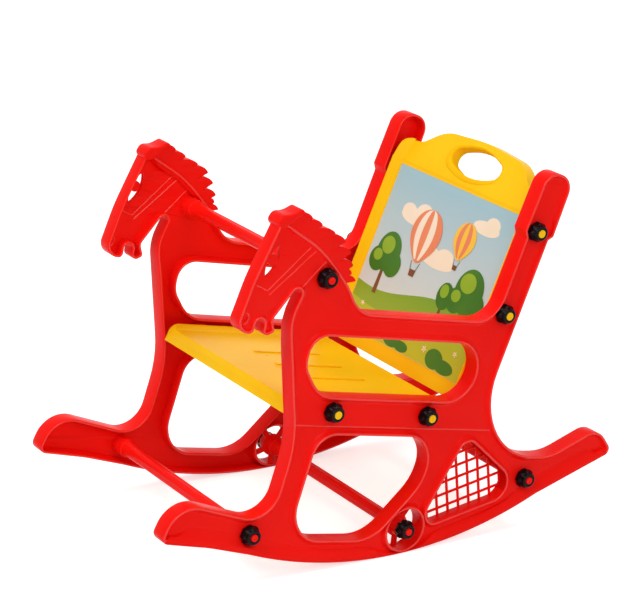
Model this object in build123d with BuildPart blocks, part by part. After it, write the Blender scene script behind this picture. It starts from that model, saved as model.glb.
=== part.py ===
from build123d import *
from math import acos, ceil, cos, radians, sin, sqrt, tan
import os

# Baby rocker: two moulded horse sides, a seat and a backrest, drawn together by four cross bars and sixteen
# hand nuts. Sizes in millimetres. Side shapes are drawn flat as (u, v): u runs rearward along the arm rail,
# v runs upward across it, and (0, 0) lies by the toy wheel in each side.

# Overall sizes
WIDTH = 324.0
SIDE_DEPTH = 24.0
REST_TILT = 10.1

# Section of a side: a rim wall all round a recessed web
RIM = 4.0
WEB = 4.0
FACE_RECESS = 5.0
FLAT_RISE = 1.0

# Runner that meets the floor
RUNNER_RADIUS = 580.0
RUNNER_LOWEST = (-108.0, -41.5)
RUNNER_CENTRE = (RUNNER_LOWEST[0], RUNNER_LOWEST[1] + RUNNER_RADIUS)
ARC_FRONT_U = -225.0
ARC_REAR_U = 205.0

# Outline of a side, one stretch after another, as corners (u, v, rounding radius)
RUNNER_NOSE = [(-285.0, -20.5, 200.0), (-354.5, -15.0, 9.0), (-342.0, 37.0, 38.0)]
CHEST = [(-205.5, 9.8, 36.0), (-197.0, 112.0, 160.0), (-244.5, 262.0, 60.0)]
THROAT = [(-233.8, 300.5, 6.0), (-246.0, 300.0, 5.0)]
CHIN_V = 244.0
JAW_RISE = 18.0
JAW_CORNER_RISE = 7.5
JAW = [(-270.5, CHIN_V + JAW_RISE, 8.0), (-262.5, CHIN_V + JAW_CORNER_RISE, 0.0)]
MOUTH_REAR_U = -278.5
MOUTH_WIDTH = 13.0
MOUTH_HEIGHT = 17.5
MOUTH_TOP_V = CHIN_V + MOUTH_HEIGHT
MOUTH_ROUND = 6.4
LIP_ROUND = 0.0
MUZZLE_DROP = 1.0
MUZZLE = [(-318.0, CHIN_V - MUZZLE_DROP, 20.0), (-307.5, 306.0, 200.0), (-288.0, 375.0, 0.0)]
FOREHEAD = (-283.0, 378.0, 0.0)
CREST = [(-221.6, 351.2, 150.0), (-172.0, 309.5, 80.0)]
RAIL_TOP = 275.8
RAIL_START = (-146.0, RAIL_TOP, 45.0)
RAIL_END = (64.8, RAIL_TOP, 35.0)
POST_HEAD = (82.0, 385.0, 0.0)
FINIAL = [(77.5, 393.5, 0.0), (91.5, 471.8, 21.0), (134.4, 464.4, 21.0), (122.5, 389.0, 0.0)]
POST_BACK = (115.0, 384.0, 0.0)
HAUNCH = [(67.0, 96.0, 95.0), (213.4, 100.9, 70.0), (283.0, 140.0, 26.0), (319.0, 109.8, 8.0)]

# Arm hole, leg hole and mesh window, as corners (u, v, rounding radius)
ARM_HOLE_TOP = 245.5
ARM_HOLE_BOTTOM = 170.8
ARM_HOLE_REAR_U = 54.5
ARM_HOLE_FRONT = [(-205.5, 27.0), (-204.8, 15.0), (-175.2, 35.0)]
ARM_HOLE_BEND_V = 206.0
LEG_HOLE_TOP = 123.0
LEG_HOLE_BOTTOM = -11.8
LEG_HOLE_FRONT = [(-162.5, 30.0), (-173.7, 43.0)]
LEG_HOLE_REAR = [(-46.4, 55.0), (11.0, 60.0), (15.0, 38.0)]
LEG_HOLE_BEND_V = 62.5
WINDOW = [(67.5, 125.0, 14.0), (179.5, 56.5, 22.0), (21.5, 0.5, 15.0)]

# Mesh in the window
MESH_CENTRE = (95.0, 59.0)
MESH_TURN = 20.0
MESH_PITCH = 16.5
MESH_BAR = 2.6
MESH_THICK = 3.5
MESH_SET_IN = 2.0

# Toy wheel moulded in each side, round the middle bar
WHEEL_OPENING = 27.0
SPOKES = 5
SPOKE_WIDTH = 7.5
HUB_RADIUS = 15.0

# Head details
MANE_THICK = 12.0
MANE_SET_IN = 1.0
FORELOCK = [(-293.5, 379.0, 3.0), (-285.0, 389.0, 9.0), (-262.0, 395.5, 0.0)]
MANE_START = (-260.5, 389.5)
MANE = [
    ((-254.0, 389.0), (-246.0, 385.0), (-248.5, 381.0)),
    ((-239.0, 382.0), (-230.0, 378.0), (-234.0, 373.0)),
    ((-213.0, 369.5), (-192.0, 361.0), (-203.0, 350.5)),
    ((-193.0, 353.0), (-181.0, 348.0), (-191.0, 337.0)),
    ((-183.0, 338.0), (-173.0, 333.0), (-178.0, 327.0)),
    ((-176.0, 326.5), (-172.5, 323.5), (-176.0, 319.5)),
    ((-171.0, 319.0), (-165.0, 315.5), (-174.0, 311.5)),
]
MANE_ROOT = (-1.6, -2.0)
EYE_TOP = (-284.0, 350.0)
EYE_BOTTOM = (-293.5, 314.0)
EYE_WIDTH = 12.0
PUPIL_CENTRE = (-289.0, 333.5)
PUPIL_RADIUS = 7.0
NOSTRIL = (-308.0, 261.0)
NOSTRIL_RADIUS = 3.5
STRAP_RAISE = 1.2
STRAP_WIDTH = 10.0
STRAP_CORNER = (-282.0, 294.5)
STRAP_TOP = (-235.0, 352.0)
NOSEBAND_END = (-313.0, 305.0)
CHEEK_RAISE = 2.0
CHEEK_LOW = (-240.0, 297.0)
CHEEK_HIGH = (-207.0, 339.0)
LEDGE_V = 133.0
LEDGE_RAISE = 1.5

# Stud axes as (u, v)
HANDLE = (-205.0, 315.6)
FRONT_LOW = (-229.0, -5.0)
MIDDLE_LOW = (3.6, 1.2)
REAR_LOW = (180.5, 70.5)
SEAT_FRONT = (-149.5, 151.6)
SEAT_REAR = (-4.5, 150.4)
BACK_LOW = (78.2, 286.3)
BACK_HIGH = (96.6, 393.6)

# Studs, bosses and hand nuts
STUD_DIA = 10.0
STUD_CLEAR = 0.06
NECK_CLEAR = 0.1
NUT_GAP = 0.3
NUT_ROOM = 0.6
BOSS_DIA = 27.0
BOSS_SIDES = 8
NUT_HEIGHT = 14.0
NUT_BASE_DIA = 26.0
NUT_VALLEY_DIA = 22.0
NUT_LOBES = 8
NUT_LOBE_SPREAD = 24.0
NUT_BORE_FLATS = 12
STUD_ROOT = 4.0

# Cross bars
BAR_DIA = 17.0
BAR_COLLAR_DIA = 24.0
BAR_COLLAR = 8.0
BAR_FLUTES = 4
BAR_FLUTE_WIDTH = 5.0
BAR_FLUTE_DEPTH = 1.2
BAR_FLUTE_END = 5.0

# Seat
SEAT_WALL = 3.5
SEAT_TOP = 163.0
SEAT_DISH = 5.0
SEAT_SIDE = 12.0
SEAT_FRONT_U = -205.0
SEAT_REAR_U = 44.0
SEAT_SKIRT = 141.0
SEAT_NOSE_ROUND = 14.0
SEAT_NOSE_LEAN = 2.0
SEAT_RIBS = 3
SEAT_RIB_PITCH = 50.0
SEAT_RIB_FRONT_U = -128.0
SEAT_RIB_REAR_U = -27.0
SEAT_RIB_WIDTH = 6.0
SEAT_RIB_RAISE = 1.8

# Backrest, in its own plane through the two back studs
BACK_WALL = 3.5
BACK_SIDE_FRONT = 12.0
BACK_SIDE_REAR = 11.0
BACK_FACE = 0.5
BACK_SIDE_BAND = 9.0
BACK_BOTTOM = -127.0
BACK_SHOULDER = 154.0
BACK_CROWN = [(114.0, 152.0, 32.0), (80.0, 179.5, 60.0)]
BACK_CROWN_TOP = 186.0
BACK_CROWN_ROUND = 300.0
BACK_SHOULDER_ROUND = 6.0
BACK_CROWN_DEPTH = 17.0
BACK_BEND = 125.0
BACK_BEND_LEAN = 13.0
HAND_HOLE_RISE = 155.0
HAND_HOLE_POINT = 80.0
HAND_HOLE_POINT_ROUND = 15.0
HAND_HOLE_BROW = 30.0
HAND_HOLE_BROW_ROUND = 105.0

# Picture sheet stuck on the backrest
SHEET_MARGIN = 2.0
SHEET_TOP = 119.0
SHEET_BOTTOM = -106.0
SHEET_THICK = 0.4

# Values worked out from the sizes above
OUTER_X = WIDTH / 2
INNER_X = OUTER_X - SIDE_DEPTH
WEB_OUT_X = OUTER_X - FACE_RECESS
WEB_IN_X = WEB_OUT_X - WEB
MANE_OUT_X = OUTER_X - MANE_SET_IN
TILT = radians(REST_TILT)
HALF_ROUND = 0.999
OVER_ALL = 4 * RUNNER_RADIUS


def runner_point(u):
    """Point of the runner's arc at u."""
    return (u, RUNNER_CENTRE[1] - sqrt(RUNNER_RADIUS**2 - (u - RUNNER_CENTRE[0]) ** 2))


def side_plane(hub_y, hub_z):
    """Plane of the flat drawing, tilted as the rocker rests, with u to its right and v up it."""
    return Plane(origin=(0, hub_y, hub_z), x_dir=(0, cos(TILT), -sin(TILT)), z_dir=(1, 0, 0))


def rounded_face(plane, corners, sweep=None):
    """Polygon with every corner (u, v, radius) rounded, closed by a line or by an arc through a point."""
    points = [(u, v) for u, v, radius in corners]
    with BuildSketch(plane) as face:
        with BuildLine():
            Polyline(*points, close=sweep is None)
            if sweep:
                ThreePointArc(points[-1], sweep, points[0])
        make_face()
        for u, v, radius in corners:
            if radius > 0:
                fillet(face.vertices().sort_by_distance((u, v, 0))[0], radius)
    return face.sketch


def outline_face(plane):
    """Outer outline of a side, without its holes and mane."""
    mouth_front_u = MOUTH_REAR_U - MOUTH_WIDTH
    mouth = [
        (MOUTH_REAR_U, CHIN_V, LIP_ROUND), (MOUTH_REAR_U, MOUTH_TOP_V, MOUTH_ROUND),
        (mouth_front_u, MOUTH_TOP_V, MOUTH_ROUND), (mouth_front_u, CHIN_V, LIP_ROUND),
    ]
    head = [*THROAT, *JAW, *mouth, *MUZZLE, FOREHEAD, *CREST]
    post = [RAIL_START, RAIL_END, POST_HEAD, *FINIAL, POST_BACK]
    front = (*runner_point(ARC_FRONT_U), 0)
    rear = (*runner_point(ARC_REAR_U), 0)
    lowest = (RUNNER_CENTRE[0], RUNNER_CENTRE[1] - RUNNER_RADIUS)
    return rounded_face(plane, [front, *RUNNER_NOSE, *CHEST, *head, *post, *HAUNCH, rear], lowest)


def arm_hole_face(plane):
    """Opening beside the child's lap."""
    levels = [ARM_HOLE_TOP, ARM_HOLE_BEND_V, ARM_HOLE_BOTTOM]
    front = [(u, v, radius) for (u, radius), v in zip(ARM_HOLE_FRONT, levels)]
    half_round = HALF_ROUND * (ARM_HOLE_TOP - ARM_HOLE_BOTTOM) / 2
    rear = [(ARM_HOLE_REAR_U, v, half_round) for v in (ARM_HOLE_BOTTOM, ARM_HOLE_TOP)]
    return rounded_face(plane, [*front, *rear])


def leg_hole_face(plane):
    """Opening beside the child's legs."""
    front = [(u, v, radius) for (u, radius), v in zip(LEG_HOLE_FRONT, [LEG_HOLE_TOP, LEG_HOLE_BOTTOM])]
    levels = [LEG_HOLE_BOTTOM, LEG_HOLE_BEND_V, LEG_HOLE_TOP]
    rear = [(u, v, radius) for (u, radius), v in zip(LEG_HOLE_REAR, levels)]
    return rounded_face(plane, [*front, *rear])


def forelock_face(plane):
    """Tuft over the forehead, with the ear's tip behind it."""
    root = (FOREHEAD[0] + 2 * RIM, FOREHEAD[1] - 2 * RIM, 0)
    return rounded_face(plane, [MUZZLE[-1], *FORELOCK, (*MANE_START, 0), root])


def mane_face(plane):
    """Locks of the mane, from behind the ear down to the neck, reaching into the crest's rim."""
    root = [(u + MANE_ROOT[0], v + MANE_ROOT[1]) for u, v, radius in [FOREHEAD, *CREST]]
    with BuildSketch(plane) as face:
        with BuildLine():
            start = MANE_START
            for crown, tip, notch in MANE:
                ThreePointArc(start, crown, tip)
                Line(tip, notch)
                start = notch
            Polyline(start, *reversed(root), MANE_START)
        make_face()
    return face.sketch


def eye_face(plane):
    """Almond of the eye."""
    chord = sqrt((EYE_TOP[0] - EYE_BOTTOM[0]) ** 2 + (EYE_TOP[1] - EYE_BOTTOM[1]) ** 2)
    radius = chord**2 / (4 * EYE_WIDTH) + EYE_WIDTH / 4
    with BuildSketch(plane) as face:
        with BuildLine():
            RadiusArc(EYE_TOP, EYE_BOTTOM, radius)
            RadiusArc(EYE_BOTTOM, EYE_TOP, radius)
        make_face()
    return face.sketch


def bridle_face(plane):
    """Noseband and cheek strap."""
    with BuildSketch(plane) as face:
        with BuildLine():
            band = Polyline(NOSEBAND_END, STRAP_CORNER, STRAP_TOP)
            offset(band, amount=STRAP_WIDTH, side=Side.RIGHT)
        make_face()
    return face.sketch


def cheek_face(plane):
    """Cheek plate: all of the head in front of the line from throat to crest."""
    front_u = MUZZLE[0][0]
    top_v = FORELOCK[-1][1]
    with BuildSketch(plane) as face:
        with BuildLine():
            Polyline(
                CHEEK_LOW, CHEEK_HIGH, (CHEEK_HIGH[0], top_v), (front_u, top_v), (front_u, CHIN_V),
                (CHEEK_LOW[0], CHIN_V), close=True,
            )
        make_face()
    return face.sketch


def mesh_face(plane):
    """Lattice of thin bars that fills the window and runs into its rim."""
    reach = max(sqrt((u - MESH_CENTRE[0]) ** 2 + (v - MESH_CENTRE[1]) ** 2) for u, v, radius in WINDOW)
    count = 2 * int(reach / MESH_PITCH) + 1
    with BuildSketch(plane) as face:
        with Locations(Location((*MESH_CENTRE, 0), (0, 0, MESH_TURN))):
            with GridLocations(MESH_PITCH, MESH_PITCH, 1, count):
                Rectangle(2 * reach, MESH_BAR)
            with GridLocations(MESH_PITCH, MESH_PITCH, count, 1):
                Rectangle(MESH_BAR, 2 * reach)
    return face.sketch


# Where the drawing plane stands: the lowest point of the runner on the floor, the length centred on Y
resting = outline_face(side_plane(0, 0)).bounding_box()
SIDE = side_plane(-(resting.min.Y + resting.max.Y) / 2, -resting.min.Z)


def slid(shape, x):
    """The shape moved sideways to x."""
    return Pos(x, 0, 0) * shape


def grown(face, amount, plane):
    """The face grown (shrunk below 0) all round, its arcs drawn as flats that rise FLAT_RISE at most."""
    with BuildSketch(plane) as flats:
        with BuildLine():
            for edge in plane.to_local_coords(offset(face, amount=amount)).face().outer_wire().edges():
                count = 1
                if edge.geom_type == GeomType.CIRCLE:
                    count = ceil(edge.length / (2 * edge.radius * acos(1 - min(1, FLAT_RISE / edge.radius))))
                Polyline(*[edge @ (step / count) for step in range(count + 1)])
        make_face()
    return flats.sketch


def stud_plane(stud, x=0.0, outward=1):
    """Plane square to a stud's axis at x, facing out of the left (1) or right (-1) side."""
    return Plane(origin=SIDE.from_local_coords((*stud, x)), x_dir=SIDE.x_dir, z_dir=(outward, 0, 0))


# Faces of a side that several cuts share
outline = outline_face(SIDE)
arm_hole = arm_hole_face(SIDE)
leg_hole = leg_hole_face(SIDE)
window = rounded_face(SIDE, WINDOW)
with BuildSketch(SIDE) as wheel_rim:
    with Locations(MIDDLE_LOW):
        Circle(WHEEL_OPENING + RIM)
with BuildSketch(SIDE) as upper_half:
    with Locations((0, LEDGE_V)):
        Rectangle(OVER_ALL, OVER_ALL, align=(Align.CENTER, Align.MIN))
rim_face = outline - arm_hole - leg_hole - window
pan_face = grown(outline, -RIM, SIDE)
for hole in (arm_hole, leg_hole, window):
    pan_face = pan_face - grown(hole, RIM, SIDE)
pan_face = pan_face - wheel_rim.sketch
upper_pan = pan_face & upper_half.sketch
lower_pan = pan_face - upper_half.sketch
lower_out_x = WEB_OUT_X - LEDGE_RAISE
lower_in_x = WEB_IN_X - LEDGE_RAISE
eye = eye_face(SIDE)
with BuildSketch(SIDE) as pupil:
    with Locations(PUPIL_CENTRE):
        Circle(PUPIL_RADIUS)
cheek = cheek_face(SIDE) & upper_pan - eye
bridle = bridle_face(SIDE) & upper_pan
mesh = mesh_face(SIDE) & grown(window, RIM / 2, SIDE)
mane = mane_face(SIDE)
forelock = forelock_face(SIDE)

BARS = {"handle": HANDLE, "front_lower": FRONT_LOW, "middle_lower": MIDDLE_LOW, "rear_lower": REAR_LOW}
SEAT_STUDS = {"seat_front": SEAT_FRONT, "seat_rear": SEAT_REAR}
BACK_STUDS = {"back_lower": BACK_LOW, "back_upper": BACK_HIGH}
STUDS = {**BARS, **SEAT_STUDS, **BACK_STUDS}


def web_out_x(stud):
    """Outer face of the web that a stud comes through."""
    return WEB_OUT_X if stud[1] > LEDGE_V else lower_out_x


# Left side: rim, recessed web, wheel, mesh, head details, bosses and bores
with BuildPart() as left_side:
    extrude(slid(rim_face, INNER_X), amount=SIDE_DEPTH)
    extrude(slid(upper_pan, WEB_OUT_X), amount=FACE_RECESS, mode=Mode.SUBTRACT)
    extrude(slid(upper_pan, INNER_X), amount=WEB_IN_X - INNER_X, mode=Mode.SUBTRACT)
    extrude(slid(lower_pan, lower_out_x), amount=OUTER_X - lower_out_x, mode=Mode.SUBTRACT)
    extrude(slid(lower_pan, INNER_X), amount=lower_in_x - INNER_X, mode=Mode.SUBTRACT)
    with BuildSketch(stud_plane(MIDDLE_LOW, INNER_X)):
        Circle(WHEEL_OPENING)
    extrude(amount=SIDE_DEPTH, mode=Mode.SUBTRACT)
    with BuildSketch(stud_plane(MIDDLE_LOW, lower_in_x)):
        with PolarLocations((WHEEL_OPENING + RIM / 2) / 2, SPOKES, start_angle=90):
            Rectangle(WHEEL_OPENING + RIM / 2, SPOKE_WIDTH)
        Circle(HUB_RADIUS)
    extrude(amount=WEB)
    extrude(slid(mesh, INNER_X + MESH_SET_IN), amount=MESH_THICK)
    extrude(slid(mane, MANE_OUT_X - MANE_THICK), amount=MANE_THICK)
    extrude(slid(forelock, INNER_X), amount=SIDE_DEPTH)
    extrude(slid(cheek, WEB_IN_X - CHEEK_RAISE), amount=WEB + 2 * CHEEK_RAISE)
    extrude(slid(bridle, WEB_IN_X - CHEEK_RAISE - STRAP_RAISE), amount=WEB + 2 * (CHEEK_RAISE + STRAP_RAISE))
    extrude(slid(eye - pupil.sketch, INNER_X), amount=SIDE_DEPTH, mode=Mode.SUBTRACT)
    with BuildSketch(SIDE.offset(WEB_OUT_X)):
        with Locations(NOSTRIL):
            Circle(NOSTRIL_RADIUS)
    extrude(amount=FACE_RECESS, mode=Mode.SUBTRACT)
    for stud in STUDS.values():
        with BuildSketch(stud_plane(stud, INNER_X)):
            RegularPolygon(BOSS_DIA / 2, BOSS_SIDES, major_radius=False)
        extrude(amount=web_out_x(stud) - INNER_X)
        with BuildSketch(stud_plane(stud, web_out_x(stud))):
            Circle(NUT_BASE_DIA / 2 + NUT_ROOM)
        extrude(amount=SIDE_DEPTH, mode=Mode.SUBTRACT)
        with BuildSketch(stud_plane(stud, INNER_X)):
            Rectangle(STUD_DIA + 2 * NECK_CLEAR, STUD_DIA + 2 * NECK_CLEAR)
        extrude(amount=SIDE_DEPTH, mode=Mode.SUBTRACT)
    extrude(slid(leg_hole, INNER_X), amount=SIDE_DEPTH, mode=Mode.SUBTRACT)
left_side.part.label = "left_side"

# Right side: the same moulding, mirrored
with BuildPart() as right_side:
    mirror(left_side.part, about=Plane.YZ)
right_side.part.label = "right_side"


def stud_bolts(stud, root):
    """Both studs on one axis: a square neck from root through the web, then round in the nut."""
    with BuildPart() as bolts:
        for outward in (1, -1):
            with BuildSketch(stud_plane(stud, outward * root, outward)):
                Rectangle(STUD_DIA, STUD_DIA)
            extrude(amount=web_out_x(stud) - root)
            with BuildSketch(stud_plane(stud, outward * web_out_x(stud), outward)):
                Circle(STUD_DIA / 2)
            extrude(amount=NUT_GAP + NUT_HEIGHT)
    return bolts.part


# Cross bars: fluted between two collars that bear on the bosses inside the sides
bars = []
for name, stud in BARS.items():
    with BuildPart() as bar:
        with BuildSketch(stud_plane(stud)):
            Circle(BAR_DIA / 2)
        extrude(amount=INNER_X, both=True)
        with BuildSketch(stud_plane(stud)):
            with PolarLocations(BAR_DIA / 2, BAR_FLUTES):
                Rectangle(2 * BAR_FLUTE_DEPTH, BAR_FLUTE_WIDTH)
        extrude(amount=INNER_X - BAR_COLLAR - BAR_FLUTE_END, both=True, mode=Mode.SUBTRACT)
        for outward in (1, -1):
            with BuildSketch(stud_plane(stud, outward * INNER_X, -outward)):
                Circle(BAR_COLLAR_DIA / 2)
            extrude(amount=BAR_COLLAR)
        add(stud_bolts(stud, INNER_X))
    bar.part.label = f"{name}_bar"
    bars.append(bar)


def polar(radius, degrees):
    """Flat point at a radius and an angle."""
    return (radius * cos(radians(degrees)), radius * sin(radians(degrees)))


# Hand nuts: a lobed grip, narrower to its end, turning on its stud
grip_points = []
for lobe in range(NUT_LOBES):
    middle = lobe * 360 / NUT_LOBES
    grip_points.append(polar(NUT_BASE_DIA / 2, middle - NUT_LOBE_SPREAD / 2))
    grip_points.append(polar(NUT_BASE_DIA / 2, middle + NUT_LOBE_SPREAD / 2))
    grip_points.append(polar(NUT_VALLEY_DIA / 2, middle + 180 / NUT_LOBES))
nuts = []
for name, stud in STUDS.items():
    for side, outward in (("left", 1), ("right", -1)):
        with BuildPart() as nut:
            nut_foot = stud_plane(stud, outward * (web_out_x(stud) + NUT_GAP), outward)
            with BuildSketch(nut_foot):
                with BuildLine():
                    Polyline(*grip_points, close=True)
                make_face()
            extrude(amount=NUT_HEIGHT)
            with BuildSketch(nut_foot):
                RegularPolygon(STUD_DIA / 2 + STUD_CLEAR, NUT_BORE_FLATS, major_radius=False)
            extrude(amount=NUT_HEIGHT, mode=Mode.SUBTRACT)
        nut.part.label = f"{side}_{name}_nut"
        nuts.append(nut)

# Seat: a dished channel with a rolled front, a rear lip, ribs, and a stud at each corner
seat_flat = SEAT_TOP - SEAT_DISH
seat_length = SEAT_REAR_U - SEAT_FRONT_U
seat_under = seat_flat - SEAT_WALL
seat_inside = INNER_X - SEAT_WALL
seat_room = seat_length - SEAT_NOSE_LEAN - SEAT_NOSE_ROUND / 2 - 2 * SEAT_WALL
across = Plane(origin=SIDE.origin, x_dir=(1, 0, 0), z_dir=-SIDE.x_dir)
seat_floor = Plane(origin=SIDE.from_local_coords((0, seat_flat, 0)), x_dir=(1, 0, 0), z_dir=SIDE.y_dir)
with BuildPart() as seat:
    with BuildSketch(across.offset(-SEAT_REAR_U)):
        with BuildLine():
            Polyline(
                (-INNER_X, SEAT_SKIRT), (-INNER_X, SEAT_TOP), (SEAT_SIDE - INNER_X, seat_flat),
                (INNER_X - SEAT_SIDE, seat_flat), (INNER_X, SEAT_TOP), (INNER_X, SEAT_SKIRT), close=True,
            )
        make_face()
    extrude(amount=seat_length)
    with BuildSketch(SIDE.offset(-INNER_X)) as roll:
        with BuildLine():
            Line((SEAT_FRONT_U, SEAT_SKIRT), (SEAT_FRONT_U + SEAT_NOSE_LEAN, SEAT_TOP - SEAT_NOSE_ROUND))
            RadiusArc(
                (SEAT_FRONT_U + SEAT_NOSE_LEAN, SEAT_TOP - SEAT_NOSE_ROUND),
                (SEAT_FRONT_U + SEAT_NOSE_LEAN + SEAT_NOSE_ROUND, SEAT_TOP), SEAT_NOSE_ROUND,
            )
            Polyline(
                (SEAT_FRONT_U + SEAT_NOSE_LEAN + SEAT_NOSE_ROUND, SEAT_TOP), (SEAT_REAR_U, SEAT_TOP),
                (SEAT_REAR_U, SEAT_SKIRT), (SEAT_FRONT_U, SEAT_SKIRT),
            )
        make_face()
    extrude(amount=2 * INNER_X, mode=Mode.INTERSECT)
    with BuildSketch(across.offset(SEAT_WALL - SEAT_REAR_U)):
        with BuildLine():
            Polyline(
                (-seat_inside, SEAT_SKIRT), (-seat_inside, seat_under + SEAT_DISH / 2),
                (SEAT_SIDE - INNER_X, seat_under), (INNER_X - SEAT_SIDE, seat_under),
                (seat_inside, seat_under + SEAT_DISH / 2), (seat_inside, SEAT_SKIRT), close=True,
            )
        make_face()
    extrude(amount=seat_room, mode=Mode.SUBTRACT)
    with BuildSketch(seat_floor):
        with GridLocations(SEAT_RIB_PITCH, 0, SEAT_RIBS, 1):
            with Locations((0, (SEAT_RIB_FRONT_U + SEAT_RIB_REAR_U) / 2)):
                Rectangle(SEAT_RIB_WIDTH, SEAT_RIB_REAR_U - SEAT_RIB_FRONT_U)
    extrude(amount=SEAT_RIB_RAISE)
    for stud in SEAT_STUDS.values():
        add(stud_bolts(stud, INNER_X - STUD_ROOT))
seat.part.label = "seat"

# Backrest: a dished shell between the posts, with a crown that leans back and holds the hand hole
back_rise = Vector(BACK_HIGH[0] - BACK_LOW[0], BACK_HIGH[1] - BACK_LOW[1], 0).normalized()
back_up = SIDE.x_dir * back_rise.X + SIDE.y_dir * back_rise.Y
back_rear = SIDE.x_dir * back_rise.Y - SIDE.y_dir * back_rise.X
back_origin = SIDE.from_local_coords((*BACK_LOW, 0))
back_across = Plane(origin=back_origin, x_dir=(1, 0, 0), z_dir=back_up)
back_section = Plane(origin=back_origin, x_dir=back_rear, z_dir=(1, 0, 0))
back_front = Plane(origin=back_origin, x_dir=(1, 0, 0), z_dir=-back_rear)
inner_face = BACK_WALL - BACK_FACE
back_inside = INNER_X - BACK_WALL
flat_half = INNER_X - BACK_SIDE_BAND
crown_back = tan(radians(BACK_BEND_LEAN)) * (BACK_CROWN_TOP - BACK_BEND)

crown_right = [(INNER_X, BACK_BEND, 0), (INNER_X, BACK_SHOULDER, BACK_SHOULDER_ROUND), *BACK_CROWN]
crown_left = [(-x, rise, radius) for x, rise, radius in reversed(crown_right)]
crown_face = rounded_face(back_front, [*crown_right, (0, BACK_CROWN_TOP, BACK_CROWN_ROUND), *crown_left])
hand_hole = rounded_face(back_front, [
    (HAND_HOLE_POINT, HAND_HOLE_RISE, HAND_HOLE_POINT_ROUND),
    (0, HAND_HOLE_RISE + HAND_HOLE_BROW, HAND_HOLE_BROW_ROUND),
    (-HAND_HOLE_POINT, HAND_HOLE_RISE, HAND_HOLE_POINT_ROUND),
    (0, HAND_HOLE_RISE - HAND_HOLE_BROW, HAND_HOLE_BROW_ROUND),
])

crown_room = grown(crown_face, -BACK_WALL, back_front) - grown(hand_hole, BACK_WALL, back_front)
with BuildPart() as crown_hollow:
    with BuildSketch(back_section.offset(BACK_WALL - INNER_X)):
        with BuildLine():
            Polyline(
                (inner_face, BACK_BEND), (crown_back + inner_face, BACK_CROWN_TOP),
                (crown_back + BACK_CROWN_DEPTH, BACK_CROWN_TOP), (BACK_CROWN_DEPTH, BACK_BEND), close=True,
            )
        make_face()
    extrude(amount=2 * (INNER_X - BACK_WALL))
    extrude(crown_room, amount=INNER_X, both=True, mode=Mode.INTERSECT)

with BuildPart() as backrest:
    with BuildSketch(back_section.offset(-INNER_X)):
        with BuildLine():
            Polyline(
                (-BACK_FACE, BACK_BEND), (crown_back - BACK_FACE, BACK_CROWN_TOP),
                (crown_back - BACK_FACE + BACK_CROWN_DEPTH, BACK_CROWN_TOP),
                (BACK_CROWN_DEPTH - BACK_FACE, BACK_BEND), close=True,
            )
        make_face()
    extrude(amount=2 * INNER_X)
    extrude(crown_face, amount=INNER_X, both=True, mode=Mode.INTERSECT)
    add(crown_hollow.part, mode=Mode.SUBTRACT)
    with BuildSketch(back_across.offset(BACK_BOTTOM)):
        with BuildLine():
            Polyline(
                (-INNER_X, BACK_SIDE_REAR), (-INNER_X, -BACK_SIDE_FRONT), (-flat_half, -BACK_FACE),
                (flat_half, -BACK_FACE), (INNER_X, -BACK_SIDE_FRONT), (INNER_X, BACK_SIDE_REAR), close=True,
            )
        make_face()
    extrude(amount=BACK_BEND - BACK_BOTTOM)
    with BuildSketch(back_across.offset(BACK_BOTTOM + BACK_WALL)):
        with BuildLine():
            Polyline(
                (-back_inside, BACK_SIDE_REAR), (-back_inside, BACK_WALL - BACK_SIDE_FRONT),
                (-flat_half, inner_face), (flat_half, inner_face),
                (back_inside, BACK_WALL - BACK_SIDE_FRONT), (back_inside, BACK_SIDE_REAR), close=True,
            )
        make_face()
    extrude(amount=BACK_BEND - BACK_BOTTOM - BACK_WALL, mode=Mode.SUBTRACT)
    extrude(hand_hole, amount=INNER_X, both=True, mode=Mode.SUBTRACT)
    for stud in BACK_STUDS.values():
        add(stud_bolts(stud, INNER_X - STUD_ROOT))
backrest.part.label = "backrest"

# Picture sheet, stuck to the flat of the backrest
with BuildPart() as picture_sheet:
    with BuildSketch(back_front.offset(BACK_FACE)):
        with Locations((0, (SHEET_TOP + SHEET_BOTTOM) / 2)):
            Rectangle(2 * (flat_half - SHEET_MARGIN), SHEET_TOP - SHEET_BOTTOM)
    extrude(amount=SHEET_THICK)
picture_sheet.part.label = "picture_sheet"

os.makedirs("parts", exist_ok=True)
for piece in (left_side, right_side, seat, backrest, picture_sheet, *bars, *nuts):
    export_step(piece.part, f"parts/{piece.part.label}.step")
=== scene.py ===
from math import acos, atan2, cos, pi, radians, sin, sqrt, tan

import bmesh
import bpy
from mathutils import Matrix, Vector
from mathutils.kdtree import KDTree


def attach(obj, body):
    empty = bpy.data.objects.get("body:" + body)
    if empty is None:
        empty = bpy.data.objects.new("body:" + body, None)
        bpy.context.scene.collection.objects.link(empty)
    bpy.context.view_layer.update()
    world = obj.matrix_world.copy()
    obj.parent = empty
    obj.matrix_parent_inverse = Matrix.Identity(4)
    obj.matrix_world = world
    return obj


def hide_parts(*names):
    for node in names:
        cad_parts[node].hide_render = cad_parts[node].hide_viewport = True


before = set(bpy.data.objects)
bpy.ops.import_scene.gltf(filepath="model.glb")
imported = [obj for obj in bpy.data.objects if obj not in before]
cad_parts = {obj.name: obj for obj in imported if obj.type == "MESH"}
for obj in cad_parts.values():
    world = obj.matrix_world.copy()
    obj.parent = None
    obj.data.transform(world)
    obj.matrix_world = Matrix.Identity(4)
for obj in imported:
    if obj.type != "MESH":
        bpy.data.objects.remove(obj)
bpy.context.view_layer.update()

MM = 0.001

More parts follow.
